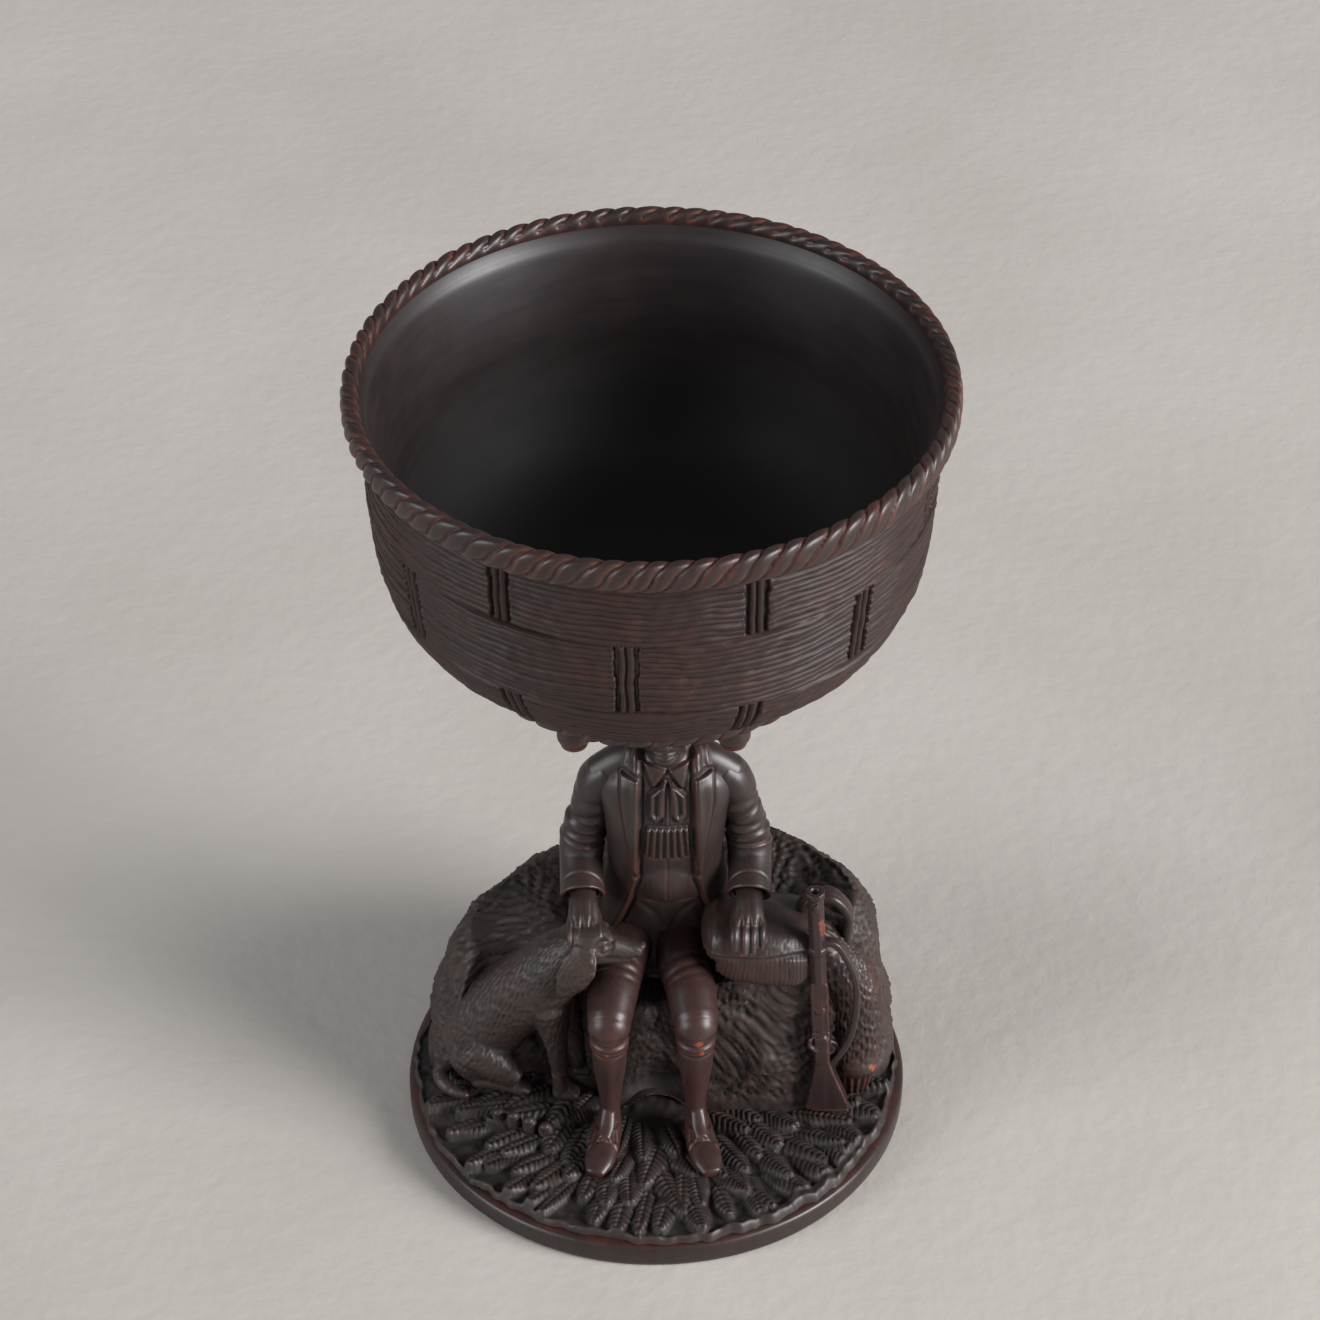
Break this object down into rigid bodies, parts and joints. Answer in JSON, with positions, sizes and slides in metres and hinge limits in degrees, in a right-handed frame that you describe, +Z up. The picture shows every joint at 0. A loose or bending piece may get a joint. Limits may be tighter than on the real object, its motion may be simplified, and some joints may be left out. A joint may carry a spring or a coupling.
{
  "type": "carved wooden goblet",
  "caption": "Goblet with a basket-shaped wooden bowl on a carved stem: a seated hunter with hound, game bag and rifle on a round plinth.",
  "frame": {"origin": "centre of the plinth's underside, on the turning axis of plinth and bowl", "axes": "+Z up from the plinth to the rim, -Y the way the hunter faces, +X towards the hunter's left hand, where the bag and rifle are"},
  "size_m": [0.1198, 0.1198, 0.1919],
  "materials": {
    "stained_wood": "dark stained carved wood, satin",
    "rubbed_wood": "dark stained wood rubbed redder by handling, satin",
    "earthy_wood": "dark stained wood with dust in the hollows, dull",
    "bowl_wood": "dark stained turned wood, polished inside",
    "plain_wood": "unstained turned dowel",
    "screw_steel": "plain steel"
  },
  "bodies": {
    "root": {"plinth": "rubbed_wood", "rock_and_ground": "earthy_wood", "plinth_screw_1": "screw_steel", "plinth_screw_2": "screw_steel", "plinth_screw_3": "screw_steel", "hunter_torso": "stained_wood", "hunter_head": "stained_wood", "hunter_hat": "stained_wood", "hunter_right_arm": "stained_wood", "hunter_left_arm": "stained_wood", "hunter_right_leg": "rubbed_wood", "hunter_left_leg": "rubbed_wood", "seat_dowel": "plain_wood", "bowl_dowel": "plain_wood", "hound": "stained_wood", "game_bag": "stained_wood", "bag_strap": "stained_wood", "rifle_stock": "rubbed_wood", "rifle_barrel": "stained_wood", "rifle_sling": "stained_wood", "basket_bowl": "bowl_wood", "foot_rope_ring": "rubbed_wood"}
  },
  "joints": []
}
